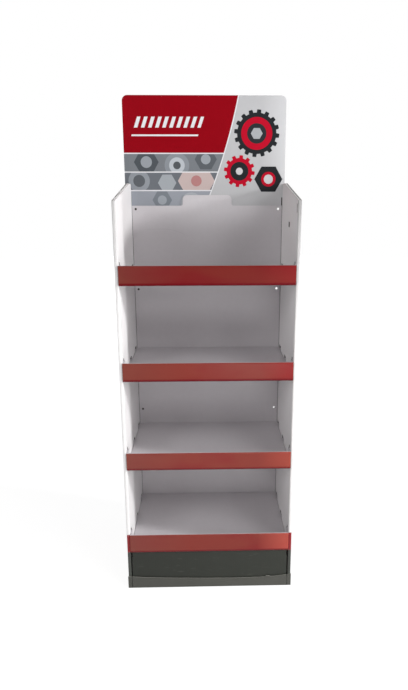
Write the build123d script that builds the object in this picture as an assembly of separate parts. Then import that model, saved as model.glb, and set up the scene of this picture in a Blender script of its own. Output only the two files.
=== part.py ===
from build123d import *
import os

# A free-standing shop display folded from corrugated card, in millimetres.
# +Z is up, -Y is the front, and the origin is at the middle of the footprint on the floor.

# Footprint and boards
footprint_width = 600.0
footprint_depth = 400.0
shell_board = 3.0
shelf_board = 3.0
liner_board = 3.0
header_board = 3.0
plinth_board = 3.0
insert_board = 3.0
tray_board = 1.5
fold_inside = 0.5
fit_gap = 0.3
glue_line = 0.2
cut_overrun = 2.0

# Outer shell
wall_thickness = 11.5
side_front_top = 1392.0
side_back_top = 1452.0
side_level_depth = 50.0
shoulder_height = 1401.0
lid_tuck = 26.0
lid_root = 9.0
lid_end_gap = 4.0
glue_flap_width = 38.0
mid_slit_setback = 176.0
mid_slit_length = 26.0
mid_slit_drop = 92.0
mid_slit_height = 18.0
front_slit_setback = 16.0
front_slit_length = 8.0
front_slit_drop = 38.0
front_slit_height = 28.0

# Back liner
liner_top = 1371.0
liner_side_gap = 1.6
liner_tongue_width = 186.0
liner_tongue_rise = 39.0
liner_tongue_corner = 17.0
liner_tongue_root = 7.0
rivet_hole = 9.0
rivet_inset = 13.5
rivet_heights = (551.0, 1051.0)
top_rivet_drop = 12.5

# Header card
header_extra_width = 2.0
header_top = 1764.0
header_side_shift = -7.3
header_corner = 20.0
header_tongue_play = 4.4
header_tongue_lap = 132.0
header_tongue_chamfer = 12.0

# Tray shelves
shelf_names = ("shelf_bottom", "shelf_lower", "shelf_upper", "shelf_top")
first_lip_base = 148.5
shelf_pitch = 325.0
lip_height = 66.0
bottom_lip_height = 72.0
lip_proud = 6.0
lip_thickness = 8.0
lip_bottom_radius = 7.0
lip_return = 46.0
floor_rise = 15.5
rear_flange = 15.0
side_flange = 13.0
shelf_side_gap = 0.6
bend_zone = 9.0
tab_length = 38.0
tab_reach = 2.0
tab_relief = 1.0
tab_setbacks = (205.0, 350.0)
slot_side_play = 1.5
slot_rise = 13.0
wing_length = 38.0
wing_drop = 2.0
hook_height = 12.0
hook_drop = 5.0
hook_slot_length = 13.0
hook_slot_rise = 7.0

# Plinth front, insert and floor tray
plinth_setback = 2.0
plinth_side_gap = 2.6
plinth_flange = 42.0
plinth_notch_width = 3.2
plinth_notch_height = 22.0
insert_top_width = 300.0
insert_foot = 60.0
insert_end_gap = 4.0
tray_height = 42.0
tray_corner_flap = 15.0
tray_slit = 1.6
tray_edge_shares = ((0.0, 1.15), (0.2, 0.98), (0.42, 0.89), (0.81, 0.89), (0.92, 1.0), (1.0, 1.16))
lock_tab_width = 15.0
lock_tab_height = 15.0
lock_tab_thickness = 1.0
lock_tab_share = 0.857

# Places that follow from the sizes above
tray_wall = tray_board + fit_gap
total_depth = footprint_depth - tray_wall + lip_proud
back_plane = total_depth / 2
tray_front = back_plane - footprint_depth
shell_front = tray_front + tray_wall
shell_back = back_plane - tray_wall
shell_half = footprint_width / 2 - tray_wall
inner_half = shell_half - wall_thickness
header_rear = shell_back - shell_board - fit_gap
header_front = header_rear - header_board
liner_rear = header_front - fit_gap
liner_front = liner_rear - liner_board
liner_half = inner_half - liner_side_gap
notch_plane = header_front - fit_gap
fold_outside = shell_board + fold_inside
slope_end = notch_plane - side_level_depth
lid_front = shell_front + fold_outside + lid_end_gap
header_half = (footprint_width + header_extra_width) / 2
tongue_left = fit_gap - inner_half
tongue_right = inner_half - header_tongue_play + fit_gap
tongue_foot = liner_top - header_tongue_lap
rivet_side = liner_half - rivet_inset
top_rivets = liner_top - top_rivet_drop
mid_slit = shell_front + mid_slit_setback
mid_slit_base = side_front_top - mid_slit_drop
front_slit = shell_front + front_slit_setback
front_slit_base = side_front_top - front_slit_drop
lip_front = shell_front - lip_proud
lip_inner = lip_front + lip_thickness
shelf_rear = liner_front - fit_gap
shelf_half = inner_half - shelf_side_gap
hook_rear = lip_inner + wing_length


def folded_sheet(points, turns, board, side):
    """Section of a folded sheet: a path along its printed face, thickened to one side.

    A turn of 1 is a fold with the printed face outside, -1 one with it inside."""
    outside = board + fold_inside
    radii = [outside if turn > 0 else fold_inside for turn in turns]
    path = FilletPolyline(*points, radius=radii)
    return make_face(offset(path, amount=board, side=side, closed=True))


def block(x_range, y_range, z_range):
    """A cut or plate between three pairs of planes."""
    lows = [min(pair) for pair in (x_range, y_range, z_range)]
    spans = [abs(pair[1] - pair[0]) for pair in (x_range, y_range, z_range)]
    return Pos(*lows) * Box(*spans, align=(Align.MIN, Align.MIN, Align.MIN))


def across(face, half):
    """Extrude a section drawn in Y and Z over the width from -half to +half."""
    return extrude(Plane.YZ * face, amount=half, both=True)


def in_depth(face, front, rear):
    """Extrude an outline drawn in X and Z from the front plane to the rear plane."""
    placed = Plane(origin=(0, rear, 0), x_dir=(1, 0, 0), z_dir=(0, -1, 0)) * face
    return extrude(placed, amount=rear - front)


def wall_cut(side, y_range, z_range):
    """A cut through the inner panel of one side wall, which leaves the outer panel whole."""
    near = inner_half - cut_overrun
    far = inner_half + shell_board + cut_overrun
    return block((side * near, side * far), y_range, z_range)


def shelf_levels(number):
    """Heights of a shelf's lip base, floor and lip top: the lowest lip is the tallest."""
    base = first_lip_base + number * shelf_pitch
    height = bottom_lip_height if number == 0 else lip_height
    return base, base + floor_rise, base + height


def tab_ranges():
    """Front and rear of each side tab of a shelf, from front to back."""
    middles = [shell_front + setback for setback in tab_setbacks]
    return [(middle - tab_length / 2, middle + tab_length / 2) for middle in middles]


def shelf_slots(number, side):
    """The slots in one inner panel that take a shelf's tabs and its wing hook."""
    base, floor, top = shelf_levels(number)
    cuts = []
    for front, rear in tab_ranges():
        y_range = (front - slot_side_play, rear + slot_side_play)
        cuts.append(wall_cut(side, y_range, (floor - shelf_board - fit_gap, floor + slot_rise)))
    hook_range = (hook_rear - hook_slot_length + slot_side_play, hook_rear + slot_side_play)
    hook_base = top - hook_drop - hook_height - fit_gap
    cuts.append(wall_cut(side, hook_range, (hook_base, top + hook_slot_rise)))
    return cuts


def outer_shell():
    """One sheet: glue flap, inner side, spine, outer side, back, and the same again mirrored."""
    flap_face = shell_back - shell_board - glue_line - shell_board
    left = [
        (-inner_half + glue_flap_width, flap_face),
        (-inner_half, flap_face),
        (-inner_half, shell_front),
        (-shell_half, shell_front),
        (-shell_half, shell_back),
    ]
    right = [(-x, y) for x, y in reversed(left)]
    section = folded_sheet(left + right, (-1, 1, 1, 1, 1, 1, 1, -1), shell_board, Side.RIGHT)
    blank = Pos(0, 0, tray_board) * extrude(section, amount=side_back_top - tray_board)

    silhouette = Polyline(
        (shell_front, tray_board),
        (shell_front, side_front_top),
        (slope_end, side_back_top),
        (notch_plane, side_back_top),
        (notch_plane, shoulder_height),
        (shell_back, shoulder_height),
        (shell_back, tray_board),
        close=True,
    )
    body = blank & across(make_face(silhouette), footprint_width / 2)

    flap_range = (notch_plane, shell_back - shell_board - glue_line / 2)
    cuts = [
        block((-inner_half, inner_half), flap_range, (tongue_foot - fit_gap, side_back_top)),
        across(make_face(lid_zone(lid_front, slope_end, fold_outside)), shell_half - shell_board),
        across(make_face(lid_zone(slope_end, notch_plane, fold_outside)), shell_half - shell_board),
    ]
    for side in (-1, 1):
        for number in range(len(shelf_names)):
            cuts += shelf_slots(number, side)
    # Two lone slits near the top of the right wall
    y_range = (mid_slit, mid_slit + mid_slit_length)
    cuts.append(wall_cut(1, y_range, (mid_slit_base, mid_slit_base + mid_slit_height)))
    y_range = (front_slit, front_slit + front_slit_length)
    cuts.append(wall_cut(1, y_range, (front_slit_base, front_slit_base + front_slit_height)))
    cuts += [rivet_cut(rivet_side, height) for height in (*rivet_heights, top_rivets)]
    lids = [wall_lid(side, *ends) for side in (-1, 1) for ends in lid_runs()]
    return body - cuts + lids


def top_edge(depth):
    """Height of the side walls' top edge: a slope from the front, then level to the header."""
    rise = (side_back_top - side_front_top) / (slope_end - shell_front)
    return min(side_front_top + (depth - shell_front) * rise, side_back_top)


def lid_zone(front, rear, drop):
    """Outline, in Y and Z, of what lies between the walls' top edge and a line below it."""
    return Polyline(
        (front, top_edge(front) - drop),
        (front, top_edge(front) + cut_overrun),
        (rear, top_edge(rear) + cut_overrun),
        (rear, top_edge(rear) - drop),
        close=True,
    )


def lid_runs():
    """Front and rear of each lid flap: one on the slope and one on the level stretch."""
    return [(lid_front, slope_end - fit_gap), (slope_end + fit_gap, notch_plane)]


def wall_lid(side, front, rear):
    """Flap that closes the top of a side wall, folded outwards from the inner panel and tucked in."""
    near = side * inner_half
    far = side * (shell_half - shell_board - fit_gap)
    board_side = Side.LEFT if side > 0 else Side.RIGHT
    points = [(near, lid_root), (near, 0), (far, 0), (far, lid_tuck)]
    section = folded_sheet(points, (1, 1), shell_board, board_side)
    run = rear - front
    rise = top_edge(rear) - top_edge(front)
    start = Plane(origin=(0, front, top_edge(front)), x_dir=(1, 0, 0), z_dir=(0, run, rise))
    flap = extrude(start * section, amount=(run**2 + rise**2) ** 0.5)
    return flap & block((-shell_half, shell_half), (front, rear), (0, side_back_top + cut_overrun))


def rivet_cut(x, height):
    """A round hole through every board at the back of the stand."""
    start = Plane(origin=(x, liner_front - cut_overrun, height), z_dir=(0, 1, 0))
    return extrude(start * Circle(rivet_hole / 2), amount=shell_back - liner_front + 2 * cut_overrun)


def back_liner():
    """Inner back panel, with a round-cornered tongue raised in the middle of its top edge."""
    tongue = liner_tongue_width / 2
    outline = FilletPolyline(
        (liner_half, tray_board),
        (liner_half, liner_top),
        (tongue, liner_top),
        (tongue, liner_top + liner_tongue_rise),
        (-tongue, liner_top + liner_tongue_rise),
        (-tongue, liner_top),
        (-liner_half, liner_top),
        (-liner_half, tray_board),
        radius=[
            fold_inside,
            liner_tongue_root,
            liner_tongue_corner,
            liner_tongue_corner,
            liner_tongue_root,
            fold_inside,
        ],
    )
    edge = Line((-liner_half, tray_board), (liner_half, tray_board))
    panel = in_depth(make_face(outline + edge), liner_front, liner_rear)
    heights = (*rivet_heights, top_rivets)
    return panel - [rivet_cut(side * rivet_side, height) for side in (-1, 1) for height in heights]


def header_card():
    """Printed card whose shoulders rest on the shell and whose tongue goes down behind the liner.

    The tongue lies against the left wall, and the card above it leans further to the left."""
    left, right = header_side_shift - header_half, header_side_shift + header_half
    outline = Polyline(
        (tongue_left, tongue_foot),
        (tongue_right, tongue_foot),
        (tongue_right, shoulder_height),
        (right, shoulder_height),
        (right, header_top),
        (left, header_top),
        (left, shoulder_height),
        (tongue_left, shoulder_height),
        close=True,
    )
    face = make_face(outline)
    face = fillet(corners_at(face, header_top), header_corner)
    face = chamfer(corners_at(face, tongue_foot), header_tongue_chamfer)
    holes = [rivet_cut(side * rivet_side, top_rivets) for side in (-1, 1)]
    return in_depth(face, header_front, header_rear) - holes


def corners_at(face, height):
    """The corners of an outline that lie at one height."""
    return face.vertices().filter_by_position(Axis.Y, height - fit_gap, height + fit_gap)


def tray_shelf(number):
    """One folded sheet: rear flange, floor, rolled-over front lip, and a return under the floor."""
    base, floor, top = shelf_levels(number)
    path = FilletPolyline(
        (shelf_rear, floor - rear_flange),
        (shelf_rear, floor),
        (lip_inner, floor),
        (lip_inner, top),
        (lip_front, top),
        (lip_front, base),
        (lip_front + lip_return, base),
        radius=[
            shelf_board + fold_inside,
            fold_inside,
            shelf_board + fold_inside,
            shelf_board + fold_inside,
            lip_bottom_radius,
        ],
    )
    section = make_face(offset(path, amount=shelf_board, side=Side.LEFT, closed=True))
    body = across(section, shelf_half)

    bend_line = shelf_half - bend_zone
    gap_front = lip_inner + fit_gap
    for side in (-1, 1):
        edge = (side * bend_line, side * (shelf_half + cut_overrun))
        body -= block(edge, (gap_front, shelf_rear + cut_overrun), (base - cut_overrun, floor + cut_overrun))
    additions = []
    for side in (-1, 1):
        additions += side_flanges(floor, side)
        additions += side_tabs(floor, side)
        additions.append(corner_wing(floor, top, side))
        additions.append(wing_hook(top, side))
    return body + additions


def flange_ranges():
    """Front and rear of each stretch of side flange between the wing and the tabs."""
    ranges = []
    front = hook_rear + tab_relief
    for tab_front, tab_rear in tab_ranges():
        ranges.append((front, tab_front - tab_relief))
        front = tab_rear + tab_relief
    ranges.append((front, shelf_rear - shelf_board - tab_relief))
    return ranges


def bent_edge(points, turn, board_side, y_range):
    """A strip of sheet bent along Y, drawn in X and Z and extruded between two depths."""
    section = folded_sheet(points, (turn,), shelf_board, board_side)
    return in_depth(section, *y_range)


def side_flanges(floor, side):
    """The floor's edge turned down beside the wall, in stretches between the tabs."""
    board_side = Side.RIGHT if side > 0 else Side.LEFT
    start = side * (shelf_half - bend_zone)
    points = [(start, floor), (side * shelf_half, floor), (side * shelf_half, floor - side_flange)]
    return [bent_edge(points, 1, board_side, y_range) for y_range in flange_ranges()]


def side_tabs(floor, side):
    """Tabs at floor level that pass through the slots of the inner panel."""
    reach = inner_half + shell_board + tab_reach
    x_range = (side * (shelf_half - bend_zone), side * reach)
    return [block(x_range, y_range, (floor - shelf_board, floor)) for y_range in tab_ranges()]


def corner_wing(floor, top, side):
    """The upright wing that stands against the wall behind the end of the lip."""
    board_side = Side.RIGHT if side > 0 else Side.LEFT
    face = side * (shelf_half - shelf_board)
    start = side * (shelf_half - bend_zone)
    points = [(start, floor), (face, floor), (face, top - wing_drop)]
    return bent_edge(points, -1, board_side, (lip_inner + fit_gap, hook_rear))


def wing_hook(top, side):
    """The end of the wing, turned outwards through its slot."""
    reach = inner_half + shell_board + tab_reach
    x_range = (side * (shelf_half - shelf_board), side * reach)
    hook_top = top - hook_drop
    return block(x_range, (hook_rear - shelf_board, hook_rear), (hook_top - hook_height, hook_top))


def plinth_front():
    """Dark panel between the walls, with flanges turned back and a notch in each top corner."""
    face = shell_front + plinth_setback
    half = inner_half - plinth_side_gap
    top = first_lip_base - fit_gap
    points = [(-half, face + plinth_flange), (-half, face), (half, face), (half, face + plinth_flange)]
    section = folded_sheet(points, (1, 1), plinth_board, Side.LEFT)
    body = Pos(0, 0, tray_board) * extrude(section, amount=top - tray_board)
    notches = []
    for side in (-1, 1):
        x_range = (side * (half - plinth_notch_width), side * (half + cut_overrun))
        y_range = (face - cut_overrun, face + plinth_flange + cut_overrun)
        notches.append(block(x_range, y_range, (top - plinth_notch_height, top + cut_overrun)))
    return body - notches


def base_support():
    """Folded insert in the plinth: two feet, two uprights, and a top that carries the bottom shelf."""
    floor = shelf_levels(0)[1]
    top = floor - shelf_board - fit_gap
    half = insert_top_width / 2
    low = tray_board + insert_board
    points = [
        (-half - insert_foot, low),
        (-half, low),
        (-half, top),
        (half, top),
        (half, low),
        (half + insert_foot, low),
    ]
    section = folded_sheet(points, (-1, 1, 1, -1), insert_board, Side.RIGHT)
    front = lip_front + lip_return + insert_end_gap
    return in_depth(section, front, liner_front - insert_end_gap)


def base_tray():
    """Low tray that the stand is set in, with narrow corner flaps beside its front wall."""
    half = footprint_width / 2
    crest = tray_height * max(share for place, share in tray_edge_shares)
    outer = block((-half, half), (tray_front, back_plane), (0, crest))
    outer = fillet(outer.edges().filter_by(Axis.Z), tray_board + fold_inside)
    outer = fillet(outer.faces().sort_by(Axis.Z)[0].edges(), tray_board)

    ceiling = crest + cut_overrun
    inside = half - tray_board
    depths = (tray_front + tray_board, back_plane - tray_board)
    hollow = block((-inside, inside), depths, (tray_board, ceiling))
    hollow = fillet(hollow.edges().filter_by(Axis.Z), fold_inside)
    cuts = [hollow, block((-half, half), (shell_front, back_plane), (tray_height, ceiling))]

    crests = [(footprint_width * (place - 0.5), tray_height * share) for place, share in tray_edge_shares]
    edge = Spline(*crests)
    above = edge + Polyline(edge @ 1, (half, ceiling), (-half, ceiling), edge @ 0)
    cuts.append(in_depth(make_face(above), tray_front - cut_overrun, shell_front))
    for side in (-1, 1):
        place = side * (half - tray_corner_flap)
        x_range = (place - tray_slit / 2, place + tray_slit / 2)
        depths = (tray_front - cut_overrun, tray_front + tray_board + cut_overrun)
        cuts.append(block(x_range, depths, (tray_board, ceiling)))
    return outer - cuts + lock_tab()


def lock_tab():
    """Small tab that is folded over the front wall of the tray."""
    middle = footprint_width * (lock_tab_share - 0.5)
    x_range = (middle - lock_tab_width / 2, middle + lock_tab_width / 2)
    low = tray_height - lock_tab_height
    leg = block(x_range, (tray_front - lock_tab_thickness, tray_front), (low, tray_height))
    bridge = block(x_range, (tray_front, tray_front + tray_board), (low, tray_height))
    return fillet(leg.edges().filter_by(Axis.Y), lock_tab_thickness) + bridge


os.makedirs("parts", exist_ok=True)
nodes = {
    "outer_shell": outer_shell(),
    "back_liner": back_liner(),
    "header_card": header_card(),
    "plinth_front": plinth_front(),
    "base_support": base_support(),
    "base_tray": base_tray(),
}
for number, name in enumerate(shelf_names):
    nodes[name] = tray_shelf(number)

for name, shape in nodes.items():
    export_step(shape, f"parts/{name}.step")
    print(name, round(shape.volume), len(shape.solids()))
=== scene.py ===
"""Looks of a free-standing shop display folded from printed corrugated card.

Lengths on the object are millimetres in the dataclass fields, and metres in the scene.
+Z is up, the shopper stands at -Y, and +X is at the shopper's right.
"""

import logging
import math
from dataclasses import dataclass
from enum import Enum
from typing import Union

import bpy
import numpy as np
from mathutils import Matrix, Vector


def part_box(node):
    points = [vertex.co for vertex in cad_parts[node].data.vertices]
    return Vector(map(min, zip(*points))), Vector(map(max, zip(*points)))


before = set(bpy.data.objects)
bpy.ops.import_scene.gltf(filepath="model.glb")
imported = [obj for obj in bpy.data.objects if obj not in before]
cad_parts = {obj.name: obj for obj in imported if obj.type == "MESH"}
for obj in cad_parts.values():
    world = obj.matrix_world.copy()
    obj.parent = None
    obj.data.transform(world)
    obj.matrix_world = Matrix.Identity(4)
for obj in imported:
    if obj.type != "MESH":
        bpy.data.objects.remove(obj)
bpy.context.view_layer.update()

MILLIMETRE = 0.001
INK_EDGE = 0.3  # millimetres over which one ink gives way to the next
FACING = 0.5  # how far a face is turned along an axis before it counts as facing that way
FACING_EDGE = 0.1
WHITE = "#FFFFFF"

log = logging.getLogger("display_stand")


class Axis(Enum):
    """An axis of the stand, by the name of its part in a vector."""

    X = "X"
    Y = "Y"
    Z = "Z"


class Operation(Enum):
    """The arithmetic that joins fields, by the names that the node has for it."""

    ADD = "ADD"
    SUBTRACT = "SUBTRACT"
    MULTIPLY = "MULTIPLY"
    MULTIPLY_ADD = "MULTIPLY_ADD"
    MAXIMUM = "MAXIMUM"
    MINIMUM = "MINIMUM"
    SIZE = "ABSOLUTE"
    REMAINDER = "FLOORED_MODULO"
    ROOT = "SQRT"
    SINE = "SINE"
    ANGLE = "ARCTAN2"


class Ray(Enum):
    """The rays that see the surround as white, by the names of the light path's outputs."""

    CAMERA = "Is Camera Ray"
    GLOSSY = "Is Glossy Ray"
    TRANSMISSION = "Is Transmission Ray"


def linear(colour: str) -> tuple[float, float, float, float]:
    """Turn an sRGB hex colour into linear RGBA, by the standard's own curve.

    Args:
        colour: a number sign and six hex digits.

    Returns:
        Red, green, blue and alpha from 0 to 1.
    """
    parts = np.array([int(colour[place : place + 2], 16) for place in (1, 3, 5)]) / 255
    curve = np.where(parts <= 0.04045, parts / 12.92, ((parts + 0.055) / 1.055) ** 2.4)
    return (*curve.tolist(), 1.0)


class Recipe:
    """A node tree while it is being written, for a material or for the world."""

    def __init__(self, tree: bpy.types.NodeTree) -> None:
        """Start from an empty tree."""
        self.tree = tree
        self.tree.nodes.clear()

    def add(
        self,
        kind: str,
        settings: dict[str, object] | None = None,
        links: dict[int | str, object] | None = None,
        output: int | str = 0,
    ) -> bpy.types.NodeSocket | None:
        """Add a node with its settings and links.

        Args:
            kind: the node's type name.
            settings: attribute values of the node.
            links: for each input, a field or socket to link or a plain value to set.
            output: which of the node's outputs is wanted.

        Returns:
            The wanted output socket, or None where the node has no outputs.
        """
        node = self.tree.nodes.new(kind)
        for name, value in (settings or {}).items():
            setattr(node, name, value)
        for place, value in (links or {}).items():
            source = value.socket if isinstance(value, Field) else value
            if isinstance(source, bpy.types.NodeSocket):
                self.tree.links.new(source, node.inputs[place])
            else:
                node.inputs[place].default_value = source
        return node.outputs[output] if node.outputs else None


@dataclass(frozen=True)
class Field:
    """One number that varies over a surface, with plain arithmetic on it."""

    recipe: Recipe
    socket: bpy.types.NodeSocket

    def calc(self, operation: Operation, *others: "Number", clamp: bool = False) -> "Field":
        """Join this field and others by one arithmetic operation.

        Args:
            operation: what is done with them.
            others: the remaining inputs, in order.
            clamp: True to keep the result from 0 to 1.

        Returns:
            The result as a field.
        """
        settings = {"operation": operation.value, "use_clamp": clamp}
        inputs = dict(enumerate((self, *others)))
        return Field(self.recipe, self.recipe.add("ShaderNodeMath", settings, inputs))

    def __add__(self, other: "Number") -> "Field":
        """Sum of this and another."""
        return self.calc(Operation.ADD, other)

    def __sub__(self, other: "Number") -> "Field":
        """Difference of this and another."""
        return self.calc(Operation.SUBTRACT, other)

    def __mul__(self, other: "Number") -> "Field":
        """Product of this and another."""
        return self.calc(Operation.MULTIPLY, other)

    def __abs__(self) -> "Field":
        """Size without its sign."""
        return self.calc(Operation.SIZE)

    def above(self, place: "Number", soft: float = INK_EDGE) -> "Field":
        """A mask that is 1 above a place and 0 below it, over an edge of a soft width."""
        return (self - place).calc(Operation.MULTIPLY_ADD, 1 / soft, 0.5, clamp=True)

    def below(self, place: "Number", soft: float = INK_EDGE) -> "Field":
        """A mask that is 1 below a place and 0 above it, as above() is the other way."""
        return (self - place).calc(Operation.MULTIPLY_ADD, -1 / soft, 0.5, clamp=True)

    def between(self, low: "Number", high: "Number", soft: float = INK_EDGE) -> "Field":
        """A mask that is 1 between two places."""
        return self.above(low, soft) * self.below(high, soft)

    def either(self, other: "Number") -> "Field":
        """The larger of two at each place."""
        return self.calc(Operation.MAXIMUM, other)

    def outside(self) -> "Field":
        """1 where this mask is 0, and 0 where it is 1."""
        return self * -1.0 + 1.0


Number = Union[Field, float]
Colour = Union[str, bpy.types.NodeSocket]
Layer = tuple[Field, Colour]


class Paint(Recipe):
    """A material's recipe, with the object's own coordinates in millimetres."""

    def __init__(self, name: str) -> None:
        """Make the material and read the coordinates that its patterns follow."""
        self.material = bpy.data.materials.new(name)
        self.material.use_nodes = True
        super().__init__(self.material.node_tree)
        self.place = self.add("ShaderNodeTexCoord", output="Object")
        links = {0: self.place, "Scale": 1 / MILLIMETRE}
        scaled = self.add("ShaderNodeVectorMath", {"operation": "SCALE"}, links)
        self.x, self.y, self.z = (self.part(scaled, axis) for axis in Axis)
        turned = self.add("ShaderNodeNewGeometry", output="Normal")
        self.facing = {axis: self.part(turned, axis) for axis in Axis}

    def part(self, vector: bpy.types.NodeSocket, axis: Axis) -> Field:
        """One component of a vector as a field."""
        return Field(self, self.add("ShaderNodeSeparateXYZ", None, {0: vector}, axis.value))

    def faces(self, axis: Axis) -> Field:
        """A mask of the faces that look along an axis, either way."""
        return abs(self.facing[axis]).above(FACING, FACING_EDGE)

    def rim(self, axis: Axis) -> Field:
        """A mask of the faces that look any other way than along an axis."""
        return abs(self.facing[axis]).below(FACING, FACING_EDGE)

    def cloud(
        self,
        size: float,
        detail: float = 3.0,
        stretch: tuple[float, float, float] = (1.0, 1.0, 1.0),
    ) -> Field:
        """Soft irregular variation about 0.5.

        Args:
            size: distance between its blotches, in millimetres.
            detail: how many finer layers it has.
            stretch: how much finer it is along each axis.

        Returns:
            The variation, about 0 to 1.
        """
        spread = self.add("ShaderNodeMapping", None, {0: self.place, "Scale": stretch})
        links = {"Vector": spread, "Scale": 1 / (size * MILLIMETRE), "Detail": detail}
        return Field(self, self.add("ShaderNodeTexNoise", None, links))

    def mottle(self, size: float, depth: float) -> Field:
        """A factor about 1 that follows soft blotches of a size in millimetres."""
        return self.cloud(size) * depth + (1.0 - depth / 2)

    def layered(self, ground: Colour, *layers: Layer) -> bpy.types.NodeSocket:
        """Lay inks over a ground, the last on top.

        Args:
            ground: the colour underneath.
            layers: for each ink its mask and its colour.

        Returns:
            The colour that shows.
        """
        shown = ground
        for mask, ink in layers:
            under, over = (linear(c) if isinstance(c, str) else c for c in (shown, ink))
            links = {0: mask, 6: under, 7: over}
            shown = self.add("ShaderNodeMix", {"data_type": "RGBA"}, links, 2)
        return shown

    def toned(self, colour: Colour, *amounts: Field) -> bpy.types.NodeSocket:
        """Make a colour lighter or darker.

        Args:
            colour: the colour to start from.
            amounts: factors about 1, each applied to the one before.

        Returns:
            The toned colour.
        """
        shown = linear(colour)[:3] if isinstance(colour, str) else colour
        for amount in amounts:
            links = {0: shown, "Scale": amount}
            shown = self.add("ShaderNodeVectorMath", {"operation": "SCALE"}, links)
        return shown

    def chosen(self, mask: Field, off: Field, on: Field) -> Field:
        """One field where a mask is 0 and another where it is 1."""
        return off + (on - off) * mask

    def relief(self, height: Field) -> bpy.types.NodeSocket:
        """Turn a height in millimetres into the surface's normal."""
        return self.add("ShaderNodeBump", None, {"Height": height, "Distance": MILLIMETRE})

    def close(
        self,
        colour: bpy.types.NodeSocket,
        roughness: Number,
        normal: bpy.types.NodeSocket,
        shine: float,
    ) -> bpy.types.Material:
        """Finish the material with its shader.

        Args:
            colour: the base colour.
            roughness: one number, or a field where it varies.
            normal: the bumped normal.
            shine: how strongly the surface mirrors, where 0.5 is plain for its kind.

        Returns:
            The material.
        """
        links = {
            "Base Color": colour,
            "Roughness": roughness,
            "Normal": normal,
            "Specular IOR Level": shine,
        }
        shader = self.add("ShaderNodeBsdfPrincipled", None, links)
        self.add("ShaderNodeOutputMaterial", None, {"Surface": shader})
        return self.material


@dataclass(frozen=True)
class Board:
    """Corrugated board: two flat papers with a waved one between them.

    The waves press faint stripes into the face, and a cut edge shows them end on."""

    thickness: float = 3.0
    pitch: float = 6.5
    paper: float = 0.32
    stripe_depth: float = 0.03
    cockle_depth: float = 0.5
    cockle_size: float = 170.0
    cockle_detail: float = 1.0
    papers: str = "#BFBDBA"
    waved: str = "#A5A19C"
    shade: str = "#6F6C69"

    def wave(self, along: Field) -> Field:
        """The waved paper's shape, a sine of the distance across the waves, from -1 to 1."""
        return (along * (2 * math.pi / self.pitch)).calc(Operation.SINE)

    def face_relief(self, paint: Paint, along: Field) -> Field:
        """Height of the face in millimetres: a sine stripe over each wave, and slow cockling."""
        cockle = paint.cloud(self.cockle_size, self.cockle_detail) * self.cockle_depth
        return self.wave(along) * self.stripe_depth + cockle

    def cut_edge(self, paint: Paint, across: Field, along: Field) -> bpy.types.NodeSocket:
        """Colour of a cut edge: the flat papers, the wave and the shade between them.

        Args:
            paint: the material in the making.
            across: distance from the middle of the board.
            along: distance along the edge.

        Returns:
            The colour.
        """
        room = self.thickness / 2 - self.paper
        on_wave = abs(across - self.wave(along) * room).below(self.paper)
        on_paper = abs(across).above(room)
        return paint.layered(self.shade, (on_wave, self.waved), (on_paper, self.papers))


@dataclass(frozen=True)
class Inks:
    """The colours of the print, and of the paper that it leaves bare."""

    white: str = "#EDEBEB"
    inner_white: str = "#CDC9CC"
    red: str = "#8D0212"
    foot: str = "#343631"
    tray: str = "#50504B"
    # the board's back is brown; this dark tone is painted shade inside the closed walls, holes and
    # slots
    reverse: str = "#3A332D"
    tray_edge: str = "#A3A29A"
    pale: str = "#BCBCBE"
    # painted light: the pale field lighter towards its right edge
    pale_lit_side: str = "#CFCFD1"
    rule: str = "#E2E1E4"


@dataclass(frozen=True)
class Finish:
    """How a board's surface was made: its name, its blotches, its roughness and its shine."""

    name: str
    mottle_size: float
    mottle_depth: float
    roughness: float
    shine: float = 0.5

    def mottle(self, paint: Paint) -> Field:
        """The blotches of this finish as a factor about 1."""
        return paint.mottle(self.mottle_size, self.mottle_depth)


@dataclass(frozen=True)
class Rubbing:
    """Irregular marks in a face: blotches of a cloud where it rises above a start."""

    size: float
    detail: float
    stretch: tuple[float, float, float]
    start: float
    blend: float
    share: float
    ink: str

    def layer(self, paint: Paint) -> Layer:
        """The marks as an ink."""
        cloud = paint.cloud(self.size, self.detail, self.stretch)
        return cloud.above(self.start, self.blend) * self.share, self.ink


@dataclass(frozen=True)
class Extent:
    """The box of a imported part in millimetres."""

    low: Vector
    high: Vector

    @staticmethod
    def of(node: str) -> "Extent":
        """Read a part's box from the frame."""
        low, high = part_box(node)
        return Extent(low / MILLIMETRE, high / MILLIMETRE)


@dataclass
class SubAssembly:
    """Parts of the stand that are dressed alike."""

    nodes: tuple[str, ...]
    inks: Inks = Inks()
    board: Board = Board()

    def material(self, node: str) -> bpy.types.Material:
        """The finish of one part."""
        raise NotImplementedError

    def flat_edge(self, paint: Paint, box: Extent) -> Layer:
        """The cut rim of a flat upright sheet, as a layer."""
        across = paint.y - (box.low.y + box.high.y) / 2
        return paint.rim(Axis.Y), self.board.cut_edge(paint, across, paint.x)

    def left_shade_factor(self, paint: Paint, box: Extent, heavy: float) -> Field:
        """Painted shade as a factor: darker towards the left, away from the light, where it takes a
        share off.
        """
        return paint.x.below(0.0, box.high.x - box.low.x) * -heavy + 1.0

    def dress(self) -> None:
        """Give each part its finish and report it."""
        for node in self.nodes:
            finish = self.material(node)
            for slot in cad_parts[node].material_slots:
                slot.material = finish
            log.info("%s is dressed in %s", node, finish.name)


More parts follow.
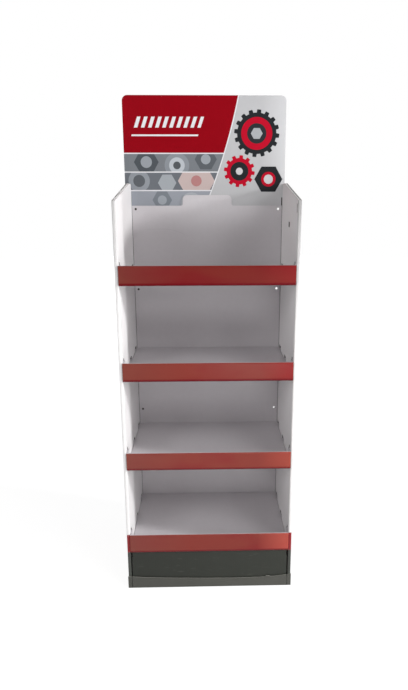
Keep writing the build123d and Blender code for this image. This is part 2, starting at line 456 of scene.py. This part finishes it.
@dataclass
class OuterShell(SubAssembly):
    """The folded sheet of sides, spines and back, printed round its foot."""

    wall: float = 11.5
    ink_wrap: float = 12.0
    foot_top: float = 148.5
    band_top: float = 219.0
    slope_start: float = 1392.0
    slope_run: float = 339.8
    lid_start: float = 5.5
    spine_depth: float = 5.0
    # painted shade: grey on the spines towards their top, most on the right spine's outer corner
    spine_shade_middle: float = 1180.0
    spine_shade_fade: float = 400.0
    spine_shade_grey: float = 0.36
    spine_shade_grey_right: float = 0.2
    spine_shade_grey_corner: float = 0.34
    # painted shade: the panels darker than the spines, the outer sides most, against the strong
    # lamp light on them
    inside_shade_tone: float = 0.97
    outside_shade_tone: float = 0.7
    # Lithographed on a clay coat and die-cut: smooth and faintly satin, hardly a blotch.
    finish: Finish = Finish("clay_coated_board_printed_foot", 9.0, 0.04, 0.45)

    def under_top(self, paint: Paint, box: Extent) -> Field:
        """Depth below the walls' top edge: a slope that ends in a level stretch.

        Args:
            paint: the material in the making.
            box: the shell's box.

        Returns:
            The depth in millimetres, below 0 above the edge.
        """
        rise = (box.high.z - self.slope_start) / self.slope_run
        slope = (paint.y - box.low.y).calc(Operation.MULTIPLY_ADD, rise, self.slope_start)
        return slope.calc(Operation.MINIMUM, box.high.z) - paint.z

    def reverse(self, paint: Paint, box: Extent) -> Field:
        """Where the sheet shows its back, painted dark as shade: inside the hollow walls, and
        behind the liner.

        Args:
            paint: the material in the making.
            box: the shell's box.

        Returns:
            The mask.
        """
        board, half = self.board.thickness, self.board.thickness / 2
        inner = box.high.x - self.wall
        within = abs(paint.x).between(inner + half, box.high.x - half)
        hollow = within * paint.y.above(box.low.y + half)
        covered = paint.y.above(box.high.y - 2 * board - half)
        behind = covered * abs(paint.x).below(inner + half)
        inside = hollow.either(behind) * paint.y.below(box.high.y - half)
        return inside * self.under_top(paint, box).above(half)

    def printed(self, paint: Paint, box: Extent) -> Field:
        """Where ink may lie: the outer sides up to the back, the spines and their fold.

        Args:
            paint: the material in the making.
            box: the shell's box.

        Returns:
            The mask.
        """
        sides = abs(paint.x).above(box.high.x - self.wall / 2)
        spines = paint.y.below(box.low.y + self.ink_wrap)
        return sides.either(spines) * paint.y.below(box.high.y - self.board.thickness)

    def cut_faces(self, paint: Paint, box: Extent) -> Field:
        """Where the board was cut: faces that look up or down, but not the walls' folded lids.

        Args:
            paint: the material in the making.
            box: the shell's box.

        Returns:
            The mask.
        """
        wide = abs(paint.x).below(box.high.x - self.board.thickness)
        lids = wide * paint.y.above(box.low.y + self.lid_start)
        lids = lids * self.under_top(paint, box).below(self.board.thickness / 2)
        return paint.faces(Axis.Z) * lids.outside()

    def slot_edges(self, paint: Paint, box: Extent) -> Field:
        """The punched edges of the inner panels' slots, within the thickness of the panel.

        Args:
            paint: the material in the making.
            box: the shell's box.

        Returns:
            The mask.
        """
        inner = box.high.x - self.wall
        panel = abs(paint.x).between(inner, inner + self.board.thickness)
        depth = paint.y.between(box.low.y + self.lid_start, box.high.y - self.wall)
        under = self.under_top(paint, box).above(self.board.thickness)
        return panel * depth * paint.rim(Axis.X) * under

    def spine_top_shade(self, paint: Paint, box: Extent) -> Field:
        """Painted shade: grey on the spines towards their top, where less light falls.

        The right spine has more, and most on its corner that turns to the right, into the lamps.

        Args:
            paint: the material in the making.
            box: the shell's box.

        Returns:
            The grey as a factor, 1 where there is none.
        """
        spines = paint.y.below(box.low.y + self.spine_depth)
        greyed = spines * paint.z.above(self.spine_shade_middle, self.spine_shade_fade)
        corner = paint.facing[Axis.X].above(FACING, 2 * FACING) * -self.spine_shade_grey_corner
        right = paint.x.above(0.0) * (corner - self.spine_shade_grey_right)
        return greyed * (right - self.spine_shade_grey) + 1.0

    def panels(self, paint: Paint, box: Extent) -> Field:
        """Painted shade on the panels behind the spines: a little on the inner ones, more on the
        outer ones.

        Args:
            paint: the material in the making.
            box: the shell's box.

        Returns:
            The tone as a factor, 1 on the spines.
        """
        outer = abs(paint.x).above(box.high.x - self.wall / 2)
        behind = paint.y.above(box.low.y + self.spine_depth)
        tone = outer * (self.outside_shade_tone - self.inside_shade_tone) + (self.inside_shade_tone - 1.0)
        return behind * tone + 1.0

    def material(self, node: str) -> bpy.types.Material:
        """White coated board, its foot inked dark grey with a red band above it.

        Args:
            node: the part's name.

        Returns:
            The material.
        """
        paint, box = Paint(self.finish.name), Extent.of(node)
        ink = self.printed(paint, box)
        foot = (ink * paint.z.below(self.foot_top), self.inks.foot)
        band = (ink * paint.z.between(self.foot_top, self.band_top), self.inks.red)
        # painted shade: the board's back dark inside the hollow walls and behind the liner
        back = (self.reverse(paint, box), self.inks.reverse)
        face = paint.layered(self.inks.white, foot, band, back)
        # painted shade on the spines' tops and on the panels behind them
        tones = (self.finish.mottle(paint), self.spine_top_shade(paint, box), self.panels(paint, box))
        wall_middle = abs(abs(paint.x) - (box.high.x - self.wall / 2))
        across = wall_middle - (self.wall - self.board.thickness) / 2
        cut = (self.cut_faces(paint, box), self.board.cut_edge(paint, across, paint.y))
        # painted shade: the slots' punched edges dark
        slots = (self.slot_edges(paint, box), self.inks.reverse)
        along = paint.chosen(paint.faces(Axis.X), paint.x, paint.y)
        normal = paint.relief(self.board.face_relief(paint, along))
        colour = paint.layered(paint.toned(face, *tones), cut, slots)
        return paint.close(colour, self.finish.roughness, normal, self.finish.shine)


@dataclass
class BackLiner(SubAssembly):
    """The inner back panel, in plain white-lined board."""

    crease_left: float = -236.0
    crease_right: float = -82.0
    crease_ends: float = 30.0
    crease_bend: float = -165.0
    crease_rise: float = 1283.5
    crease_curve: float = 0.0035
    crease_width: float = 2.2
    crease_shade: float = 0.08
    # White lining with the pulp showing: dull, and greyer than the outer sheet.
    finish: Finish = Finish("white_lined_board", 14.0, 0.05, 0.6, 0.3)

    def crease(self, paint: Paint) -> Field:
        """Painted shade along a faint crease in the face: level, then falling away as a parabola
        past its bend.

        Args:
            paint: the material in the making.

        Returns:
            The crease as a mask.
        """
        past = (paint.x - self.crease_bend).either(0.0)
        line = paint.z - self.crease_rise + past * past * self.crease_curve
        along = paint.x.between(self.crease_left, self.crease_right, self.crease_ends)
        return abs(line).below(self.crease_width / 2, self.crease_width) * along

    def material(self, node: str) -> bpy.types.Material:
        """White-lined board with painted shade along one faint crease.

        Args:
            node: the part's name.

        Returns:
            The material.
        """
        paint, box = Paint(self.finish.name), Extent.of(node)
        # painted shade: darker along the crease, with no relief of its own
        shaded_crease = self.crease(paint) * -self.crease_shade + 1.0
        face = paint.toned(self.inks.inner_white, self.finish.mottle(paint), shaded_crease)
        colour = paint.layered(face, self.flat_edge(paint, box))
        normal = paint.relief(self.board.face_relief(paint, paint.x))
        return paint.close(colour, self.finish.roughness, normal, self.finish.shine)


@dataclass(frozen=True)
class Motif:
    """A plain shape of the print, at a place on the card."""

    x: float
    z: float
    radius: float
    ink: str

    def offsets(self, paint: Paint) -> tuple[Field, Field]:
        """Distances from the motif's middle, across and up."""
        return paint.x - self.x, paint.z - self.z

    def distance(self, paint: Paint) -> Field:
        """A measure of how far out a point lies, which is the radius on the outline."""
        raise NotImplementedError

    def layer(self, paint: Paint, window: Field) -> Layer:
        """The motif as an ink, within a window of the card."""
        return self.distance(paint).below(self.radius) * window, self.ink


@dataclass(frozen=True)
class Disc(Motif):
    """A round spot."""

    def distance(self, paint: Paint) -> Field:
        """Square root of the sum of the squared offsets."""
        across, up = self.offsets(paint)
        return (across * across + up * up).calc(Operation.ROOT)


@dataclass(frozen=True)
class Hexagon(Motif):
    """A six-sided nut, flat at its top and bottom, whose radius is to its flats."""

    def distance(self, paint: Paint) -> Field:
        """The largest of the distances towards the three pairs of flats.

        Args:
            paint: the material in the making.

        Returns:
            The distance, which is the radius on the flats.
        """
        across, up = (abs(offset) for offset in self.offsets(paint))
        slanted = across * math.cos(math.pi / 6) + up * math.sin(math.pi / 6)
        return slanted.either(up)


@dataclass(frozen=True)
class Gear(Disc):
    """A toothed wheel, whose radius is to the tips of its teeth."""

    teeth: int = 12
    tooth: float = 9.0
    flank: float = 2.2

    def distance(self, paint: Paint) -> Field:
        """The round distance plus a tooth's depth in each gap, from a steep sine of the angle.

        Args:
            paint: the material in the making.

        Returns:
            The distance, which is the radius on the tips and in the gaps' floors.
        """
        across, up = self.offsets(paint)
        wave = (up.calc(Operation.ANGLE, across) * float(self.teeth)).calc(Operation.SINE)
        gap = wave.calc(Operation.MULTIPLY_ADD, self.flank, 0.5, clamp=True)
        return super().distance(paint) + gap * self.tooth


@dataclass
class HeaderCard(SubAssembly):
    """The printed card at the top: a red field, three grey bands, and a pale field with wheels."""

    slant_top: float = 118.0
    slant_foot: float = 10.0
    slant_bow: float = 8.8
    slant_base: float = 1409.0
    # painted light: where the pale field turns lighter towards the right
    lit_side_turn: float = 248.0
    lit_side_blend: float = 90.0
    band_tops: tuple[float, ...] = (1561.0, 1494.0, 1427.0)
    band_inks: tuple[str, ...] = ("#787C81", "#6C7076", "#9A9EA6")
    rule_half: float = 2.1
    dash_pitch: float = 26.0
    dash_width: float = 13.0
    dash_lean: float = 0.35
    dash_span: tuple[float, float] = (-268.0, -22.0)
    dash_rise: tuple[float, float] = (1652.0, 1690.0)
    rule_rise: tuple[float, float] = (1622.0, 1628.0)
    wheels: tuple[Motif, ...] = (
        Gear(186.0, 1632.0, 84.0, "#232528", teeth=16, tooth=11.0),
        Disc(186.0, 1632.0, 58.0, "#B80E29"),
        Disc(186.0, 1632.0, 36.0, "#2B2D31"),
        Hexagon(186.0, 1632.0, 19.0, "#A9ACB0"),
        Gear(122.0, 1497.0, 58.0, "#B80E29", teeth=12, tooth=10.0),
        Disc(122.0, 1497.0, 34.0, "#232528"),
        Disc(122.0, 1497.0, 13.0, "#CBCACC"),
        Hexagon(232.0, 1468.0, 46.0, "#232528"),
        Disc(232.0, 1468.0, 27.0, "#B80E29"),
        Disc(232.0, 1468.0, 17.0, "#CBCACC"),
    )
    hardware: tuple[Motif, ...] = (
        Hexagon(-226.0, 1530.0, 40.0, "#4F5459"),
        Disc(-226.0, 1530.0, 21.0, "#969BA1"),
        Disc(-112.0, 1518.0, 46.0, "#8A8F95"),
        Disc(-112.0, 1518.0, 29.0, "#B9BEC4"),
        Disc(-112.0, 1518.0, 14.0, "#54585C"),
        Hexagon(-4.0, 1540.0, 36.0, "#5C6065"),
        Disc(-4.0, 1540.0, 18.0, "#9A9FA5"),
    )
    lower_hardware: tuple[Motif, ...] = (
        Disc(-255.0, 1462.0, 40.0, "#8F949A"),
        Disc(-255.0, 1462.0, 22.0, "#5C6065"),
        Hexagon(-150.0, 1455.0, 30.0, "#A2A7AC"),
        Hexagon(-40.0, 1462.0, 60.0, "#C4B2AF"),
        Disc(-40.0, 1462.0, 20.0, "#B5807F"),
    )
    foot_hardware: tuple[Motif, ...] = (
        Hexagon(-170.0, 1392.0, 32.0, "#7D838A"),
        Disc(-170.0, 1392.0, 17.0, "#9EA3AA"),
        Disc(-60.0, 1380.0, 40.0, "#A9ADB3"),
    )
    # Lithographed under a satin varnish: clean edges of ink and a low, even shine.
    finish: Finish = Finish("lithographed_card_satin_varnish", 11.0, 0.03, 0.45, 0.06)

    def slant(self, paint: Paint, box: Extent) -> Field:
        """Distance to the right of the slanted edge: a straight line with a parabolic bow.

        Args:
            paint: the material in the making.
            box: the card's box.

        Returns:
            The distance in millimetres, below 0 on the left.
        """
        drop = (paint.z - box.high.z) * (1 / (self.slant_base - box.high.z))
        line = drop * (self.slant_foot - self.slant_top) + self.slant_top
        bow = (drop - drop * drop) * (4 * self.slant_bow)
        return paint.x - line - bow

    def dashes(self, paint: Paint) -> Field:
        """A row of leaning dashes over a thin rule: steps of the distance along a leaning line.

        Args:
            paint: the material in the making.

        Returns:
            The mask.
        """
        leaning = paint.x - (paint.z - self.dash_rise[0]) * self.dash_lean
        step = (leaning - self.dash_span[0]).calc(Operation.REMAINDER, self.dash_pitch)
        row = step.between(0.0, self.dash_width) * paint.z.between(*self.dash_rise)
        rule = paint.z.between(*self.rule_rise)
        return row.either(rule) * leaning.between(*self.dash_span)

    def print_layers(self, paint: Paint, box: Extent) -> list[Layer]:
        """The inks of the front.

        Args:
            paint: the material in the making.
            box: the card's box.

        Returns:
            The layers, from the ground up.
        """
        slant = self.slant(paint, box)
        left, right = slant.below(0.0), slant.above(0.0)
        # painted light: the pale field lighter towards the right
        lit_side = paint.x.above(self.lit_side_turn, self.lit_side_blend)
        layers: list[Layer] = [(lit_side, self.inks.pale_lit_side), (left, self.inks.red)]
        floors = (*self.band_tops[1:], box.low.z)
        pictures = (self.hardware, self.lower_hardware, self.foot_hardware)
        for top, floor, ink, motifs in zip(self.band_tops, floors, self.band_inks, pictures):
            window = left * paint.z.between(floor, top)
            layers.append((window, ink))
            layers += [motif.layer(paint, window) for motif in motifs]
        for top in self.band_tops:
            layers.append((abs(paint.z - top).below(self.rule_half) * left, self.inks.rule))
        layers.append((abs(slant).below(self.rule_half), self.inks.rule))
        layers.append((self.dashes(paint), self.inks.rule))
        return layers + [motif.layer(paint, right) for motif in self.wheels]

    def material(self, node: str) -> bpy.types.Material:
        """Printed card: inked on its front, white behind.

        Args:
            node: the part's name.

        Returns:
            The material.
        """
        paint, box = Paint(self.finish.name), Extent.of(node)
        front = paint.facing[Axis.Y].below(-FACING, FACING_EDGE)
        printed = paint.layered(self.inks.pale, *self.print_layers(paint, box))
        both = paint.layered(self.inks.white, (front, printed))
        face = paint.toned(both, self.finish.mottle(paint))
        colour = paint.layered(face, self.flat_edge(paint, box))
        normal = paint.relief(self.board.face_relief(paint, paint.x))
        return paint.close(colour, self.finish.roughness, normal, self.finish.shine)


@dataclass(frozen=True)
class LipFinish:
    """The look of one lip under its film: its red, a painted warm reflection, the shine, and
    painted light on its right part.
    """

    red: str
    # painted reflection: the warm room mirrored in the lip's film
    warm_reflection: str
    shine: float
    # painted light on the lip's right part
    end: str
    lit_end_share: float


@dataclass
class TrayShelves(SubAssembly):
    """The four folded shelves: white inside, with a laminated red lip."""

    lip_depth: float = 8.0
    print_past_fold: float = 2.6
    bleed_under: float = 14.0
    tab_reach: float = 6.0
    # painted reflection: the warm room mirrored in the film, as blotches of a cloud
    warm_reflection_size: float = 150.0
    warm_reflection_detail: float = 2.0
    warm_reflection_stretch: tuple[float, float, float] = (0.7, 1.0, 1.6)
    warm_reflection_span: tuple[float, float] = (0.4, 1.0)
    warm_reflection_blend: float = 0.3
    warm_reflection_share: float = 0.6
    # painted shade on the lip's rounded bottom fold, which turns away from the light
    fold_shade_line: float = 9.0
    fold_shade_fade: float = 5.0
    fold_shade_share: float = 0.9
    fold_shade_ink: str = "#66020F"
    # painted highlight along the lip's top fold
    top_highlight_line: float = 0.5
    top_highlight_share: float = 0.8
    top_highlight_ink: str = "#C9A5A4"
    # painted light on each lip's right part, where the key light and its reflection fall
    lit_end_reach: float = 60.0
    # painted reflection: the lip browner towards the left
    left_reflection_middle: float = -200.0
    left_reflection_fade: float = 260.0
    left_reflection_share: float = 0.5
    left_reflection_ink: str = "#764A3F"
    film_roughness: float = 0.22
    # Film over red ink: glassy, with slow ripples and a painted warm reflection. Bare lining
    # inside: dull.
    finish: Finish = Finish("film_laminated_red_board", 12.0, 0.05, 0.6)
    # the lips' colours differ from one to the next as painted light: lighter on the lower lips,
    # which mirror more of the room
    lips: tuple[LipFinish, ...] = (
        LipFinish("#74171D", "#762D23", 0.05, "#94272A", 0.5),
        LipFinish("#7E1E22", "#863C2E", 0.12, "#8E0C10", 0.9),
        LipFinish("#801E22", "#863E2F", 0.25, "#B8503F", 0.5),
        LipFinish("#801B20", "#843B2D", 0.25, "#C85A4C", 0.65),
    )

    def edge_inks(self, paint: Paint, box: Extent, lip: LipFinish) -> list[Layer]:
        """Painted light on a lip: a browner reflection on the left, a lit right part in a red of
        its own, shade on the bottom fold, a highlight along the top.

        Args:
            paint: the material in the making.
            box: the shelf's box.
            lip: the lip's own colours.

        Returns:
            The layers, from the ground up.
        """
        # painted reflection, browner towards the left
        left_reflection = paint.x.below(self.left_reflection_middle, self.left_reflection_fade) * self.left_reflection_share
        # painted light on the right part
        end = paint.x.above(box.high.x - self.lit_end_reach, 2 * self.lit_end_reach) * lip.lit_end_share
        # painted shade on the bottom fold
        fold = paint.z.below(box.low.z + self.fold_shade_line, self.fold_shade_fade) * self.fold_shade_share
        # painted highlight along the top
        top_highlight = paint.z.above(box.high.z - self.top_highlight_line) * self.top_highlight_share
        ends = [(left_reflection, self.left_reflection_ink), (end, lip.end)]
        return ends + [(fold, self.fold_shade_ink), (top_highlight, self.top_highlight_ink)]

    def lip_print(self, paint: Paint, box: Extent, lip: LipFinish) -> bpy.types.NodeSocket:
        """Colour of a lip: its red, a painted warm reflection over it, and the painted light of its
        edges.

        Args:
            paint: the material in the making.
            box: the shelf's box.
            lip: the lip's own colours.

        Returns:
            The colour.
        """
        # painted reflection of the warm room
        cloud = paint.cloud(self.warm_reflection_size, self.warm_reflection_detail, self.warm_reflection_stretch)
        warm_reflection = (cloud.between(*self.warm_reflection_span, self.warm_reflection_blend) * self.warm_reflection_share, lip.warm_reflection)
        return paint.layered(lip.red, warm_reflection, *self.edge_inks(paint, box, lip))

    def lip_ends(self, paint: Paint, box: Extent) -> Layer:
        """The cut ends of the lip's tabs.

        Args:
            paint: the material in the making.
            box: the shelf's box.

        Returns:
            The ends as a layer.
        """
        ends = abs(paint.x).above(box.high.x - self.tab_reach) * paint.faces(Axis.X)
        ends = ends * paint.y.below(box.low.y + self.lip_depth)
        across = paint.y - (box.low.y + self.board.thickness / 2)
        return ends, self.board.cut_edge(paint, across, paint.z)

    def material(self, node: str) -> bpy.types.Material:
        """White-lined board whose lip is printed red and film-laminated.

        Args:
            node: the shelf's name.

        Returns:
            The material.
        """
        paint, box = Paint(f"{self.finish.name}_{node}"), Extent.of(node)
        lip = self.lips[self.nodes.index(node)]
        front = paint.y.below(box.low.y + self.print_past_fold)
        low = paint.z.below(box.low.z + self.board.thickness / 2)
        under = paint.y.below(box.low.y + self.bleed_under) * low
        inside = paint.toned(self.inks.inner_white, self.finish.mottle(paint))
        face = paint.layered(inside, (front.either(under), self.lip_print(paint, box, lip)))
        colour = paint.layered(face, self.lip_ends(paint, box))
        normal = paint.relief(self.board.face_relief(paint, paint.x))
        smoother = self.film_roughness - self.finish.roughness
        roughness = front.calc(Operation.MULTIPLY_ADD, smoother, self.finish.roughness)
        return paint.close(colour, roughness, normal, lip.shine)


@dataclass
class PlinthFront(SubAssembly):
    """The dark panel under the lowest lip."""

    # painted shade: darker towards the left, away from the key light
    left_shade: float = 0.26
    scuffs: Rubbing = Rubbing(18.0, 4.0, (0.4, 1.0, 2.0), 0.68, 0.12, 0.12, "#6E6F69")
    # Flooded with ink: matt and a little cloudy, with painted shade darker at the left, scuffed by
    # cleaning.
    finish: Finish = Finish("grey_flooded_board", 60.0, 0.16, 0.5, 0.2)

    def material(self, node: str) -> bpy.types.Material:
        """Board flooded with dark grey ink, with scuffs.

        Args:
            node: the part's name.

        Returns:
            The material.
        """
        paint, box = Paint(self.finish.name), Extent.of(node)
        tones = (self.finish.mottle(paint), self.left_shade_factor(paint, box, self.left_shade))
        colour = paint.layered(paint.toned(self.inks.foot, *tones), self.scuffs.layer(paint))
        normal = paint.relief(self.board.face_relief(paint, paint.x))
        return paint.close(colour, self.finish.roughness, normal, self.finish.shine)


@dataclass
class BaseTray(SubAssembly):
    """The low tray at the floor, in thinner board."""

    board: Board = Board(thickness=1.5, pitch=3.4, paper=0.2)
    # painted shade: darker towards the left, away from the key light
    left_shade: float = 0.2
    # painted contact shadow along the tray's foot
    foot_shade_top: float = 4.0
    foot_shade_fade: float = 6.0
    foot_shade_share: float = 0.45
    foot_shade_ink: str = "#34352F"
    rim_start: float = 20.0
    # Inked on thin board: matt and cloudy, its cut top edge pale, with painted shade darker at the
    # left and a painted contact shadow along its foot.
    finish: Finish = Finish("grey_inked_thin_board", 40.0, 0.2, 0.55, 0.3)

    def material(self, node: str) -> bpy.types.Material:
        """Thin board inked grey.

        Args:
            node: the part's name.

        Returns:
            The material.
        """
        paint, box = Paint(self.finish.name), Extent.of(node)
        tones = (self.finish.mottle(paint), self.left_shade_factor(paint, box, self.left_shade))
        # painted contact shadow along the foot
        foot_shade = paint.z.below(box.low.z + self.foot_shade_top, self.foot_shade_fade) * self.foot_shade_share
        rim = paint.faces(Axis.Z) * paint.z.above(box.low.z + self.rim_start)
        layers = ((foot_shade, self.foot_shade_ink), (rim, self.inks.tray_edge))
        colour = paint.layered(paint.toned(self.inks.tray, *tones), *layers)
        normal = paint.relief(self.board.face_relief(paint, paint.x))
        return paint.close(colour, self.finish.roughness, normal, self.finish.shine)


@dataclass
class BaseSupport(SubAssembly):
    """The hidden folded insert, in brown board."""

    kraft: str = "#B08D62"
    fibres: Rubbing = Rubbing(1.6, 5.0, (1.0, 1.0, 0.2), 0.62, 0.2, 0.35, "#8A6A45")
    # Unbleached: brown and dull, with darker fibres.
    finish: Finish = Finish("unbleached_kraft_board", 30.0, 0.1, 0.8)

    def material(self, node: str) -> bpy.types.Material:
        """Unbleached kraft board.

        Args:
            node: the part's name, which this finish doesn't need.

        Returns:
            The material.
        """
        paint = Paint(self.finish.name)
        face = paint.toned(self.kraft, self.finish.mottle(paint))
        colour = paint.layered(face, self.fibres.layer(paint))
        normal = paint.relief(self.board.face_relief(paint, paint.x))
        return paint.close(colour, self.finish.roughness, normal, self.finish.shine)


@dataclass(frozen=True)
class PhotoCamera:
    """The camera of the photograph: its place, three turns in radians, and a lens in pixels."""

    place: tuple[float, float, float] = (1.5, -1982.18, 1401.75)
    yaw: float = 0.0254
    pitch: float = -0.2362
    roll: float = -0.0013
    focal_pixels: float = 556.71
    off_centre_pixels: tuple[float, float] = (18.2, -13.7)
    long_side_pixels: int = 690
    sensor: float = 36.0

    def turn(self) -> Matrix:
        """The camera's axes as columns: right, up and backwards."""
        forward = Vector(
            (
                math.sin(self.yaw) * math.cos(self.pitch),
                math.cos(self.yaw) * math.cos(self.pitch),
                math.sin(self.pitch),
            )
        )
        level = Vector((math.cos(self.yaw), -math.sin(self.yaw), 0.0))
        upright = level.cross(forward)
        right = level * math.cos(self.roll) + upright * math.sin(self.roll)
        up = upright * math.cos(self.roll) - level * math.sin(self.roll)
        return Matrix((right, up, -forward)).transposed()

    def stand(self) -> None:
        """Make the camera and look through it."""
        lens = bpy.data.cameras.new("photo_camera")
        lens.sensor_width = self.sensor
        lens.lens = self.focal_pixels * self.sensor / self.long_side_pixels
        lens.shift_x = -self.off_centre_pixels[0] / self.long_side_pixels
        lens.shift_y = self.off_centre_pixels[1] / self.long_side_pixels
        camera = bpy.data.objects.new("photo_camera", lens)
        bpy.context.scene.collection.objects.link(camera)
        place = Matrix.Translation(Vector(self.place) * MILLIMETRE)
        camera.matrix_world = place @ self.turn().to_4x4()
        bpy.context.scene.camera = camera


@dataclass(frozen=True)
class SoftBox:
    """A soft rectangular lamp, placed and aimed in metres."""

    name: str
    place: tuple[float, float, float]
    aim: tuple[float, float, float]
    width: float
    height: float
    watts: float

    def hang(self) -> None:
        """Make the lamp and turn it towards its aim."""
        light = bpy.data.lights.new(self.name, "AREA")
        light.shape = "RECTANGLE"
        light.size = self.width
        light.size_y = self.height
        light.energy = self.watts
        lamp = bpy.data.objects.new(self.name, light)
        bpy.context.scene.collection.objects.link(lamp)
        facing = (Vector(self.aim) - Vector(self.place)).to_track_quat("-Z", "Y")
        lamp.matrix_world = Matrix.Translation(Vector(self.place)) @ facing.to_matrix().to_4x4()


@dataclass(frozen=True)
class Studio:
    """A pale floor, a white surround and soft lamps."""

    surround: float = 0.065
    floor_radius: float = 12.0
    floor_drop: float = 0.0005
    floor_rim_points: int = 96
    shadow_share: float = 0.3
    shadow_reach: tuple[float, float] = (1.2, 4.5)
    floor_glow: float = 1.25
    floor_white: str = "#F4F4F4"
    lamps: tuple[SoftBox, ...] = (
        SoftBox("key_small_box", (6.4, -1.72, 2.82), (0.0, -0.1, 1.3), 0.48, 0.67, 272.0),
        SoftBox("key_strip_box", (6.4, -1.7, 0.95), (0.0, -0.2, 0.8), 0.48, 1.8, 134.0),
        SoftBox("high_soft_box", (2.4, -2.6, 2.6), (0.0, 0.0, 0.9), 1.8, 1.8, 53.5),
        SoftBox("low_soft_box", (0.5, -2.6, 0.4), (0.0, 0.0, 0.7), 1.0, 0.6, 12.0),
        SoftBox("fill_soft_box", (-2.4, -2.6, 2.2), (0.0, 0.0, 0.9), 1.8, 1.8, 42.5),
        SoftBox("rear_soft_box", (-1.6, 3.0, 2.2), (0.0, 0.0, 0.9), 1.8, 1.8, 38.0),
    )

    def floor(self) -> None:
        """Lay a flat round floor: one face through points on a circle, just under the tray."""
        angle = np.linspace(0.0, 2 * math.pi, self.floor_rim_points, endpoint=False)
        circle = np.column_stack((np.cos(angle), np.sin(angle), np.zeros_like(angle)))
        rim = circle * self.floor_radius
        rim[:, 2] = -self.floor_drop
        mesh = bpy.data.meshes.new("studio_floor")
        mesh.from_pydata(rim.tolist(), [], [list(range(self.floor_rim_points))])
        mesh.materials.append(self.floor_material())
        floor = bpy.data.objects.new("studio_floor", mesh)
        bpy.context.scene.collection.objects.link(floor)

    def white_to_camera(self, recipe: Recipe) -> Field:
        """Tell rays from the camera, mirrors and glass from light that falls on things.

        Args:
            recipe: the tree that asks.

        Returns:
            1 for those rays, and 0 for the rest.
        """
        camera, glossy, transmission = (
            Field(recipe, recipe.add("ShaderNodeLightPath", output=ray.value)) for ray in Ray
        )
        return camera.either(glossy).either(transmission)

    def floor_material(self) -> bpy.types.Material:
        """White paper sweep: it shows white, and darkens a little in the object's shadow."""
        paint = Paint("white_paper_sweep")
        paper = paint.add("ShaderNodeBsdfDiffuse", None, {"Color": linear(self.floor_white)})
        links = {"Color": linear(WHITE), "Strength": self.floor_glow}
        glow = paint.add("ShaderNodeEmission", None, links)
        away = (paint.x * paint.x + paint.y * paint.y).calc(Operation.ROOT) * MILLIMETRE
        near, far = self.shadow_reach
        kept = away.below((near + far) / 2, far - near) * self.shadow_share
        share = self.white_to_camera(paint) * kept.outside()
        shown = paint.add("ShaderNodeMixShader", None, {0: share, 1: paper, 2: glow})
        paint.add("ShaderNodeOutputMaterial", None, {"Surface": shown})
        return paint.material

    def sky(self) -> None:
        """An even grey surround for the light, white to the camera."""
        world = bpy.data.worlds.new("studio_surround")
        world.use_nodes = True
        bpy.context.scene.world = world
        recipe = Recipe(world.node_tree)
        light, white = (
            recipe.add("ShaderNodeBackground", None, {"Color": linear(WHITE), "Strength": strength})
            for strength in (self.surround, 1.0)
        )
        links = {0: self.white_to_camera(recipe), 1: light, 2: white}
        shown = recipe.add("ShaderNodeMixShader", None, links)
        recipe.add("ShaderNodeOutputWorld", None, {"Surface": shown})

    def set_up(self) -> None:
        """Lay the floor, make the surround and hang the lamps."""
        self.floor()
        self.sky()
        for lamp in self.lamps:
            lamp.hang()
        log.info("the studio has %d lamps", len(self.lamps))


def main() -> None:
    """Dress the stand, set up the studio and stand the camera."""
    logging.basicConfig(level=logging.INFO)
    for sub_assembly in (
        OuterShell(("outer_shell",)),
        BackLiner(("back_liner",)),
        HeaderCard(("header_card",)),
        TrayShelves(("shelf_top", "shelf_upper", "shelf_lower", "shelf_bottom")),
        PlinthFront(("plinth_front",)),
        BaseTray(("base_tray",)),
        BaseSupport(("base_support",)),
    ):
        sub_assembly.dress()
    Studio().set_up()
    PhotoCamera().stand()
    bpy.context.scene.view_settings.view_transform = "Standard"


if __name__ == "__main__":
    main()
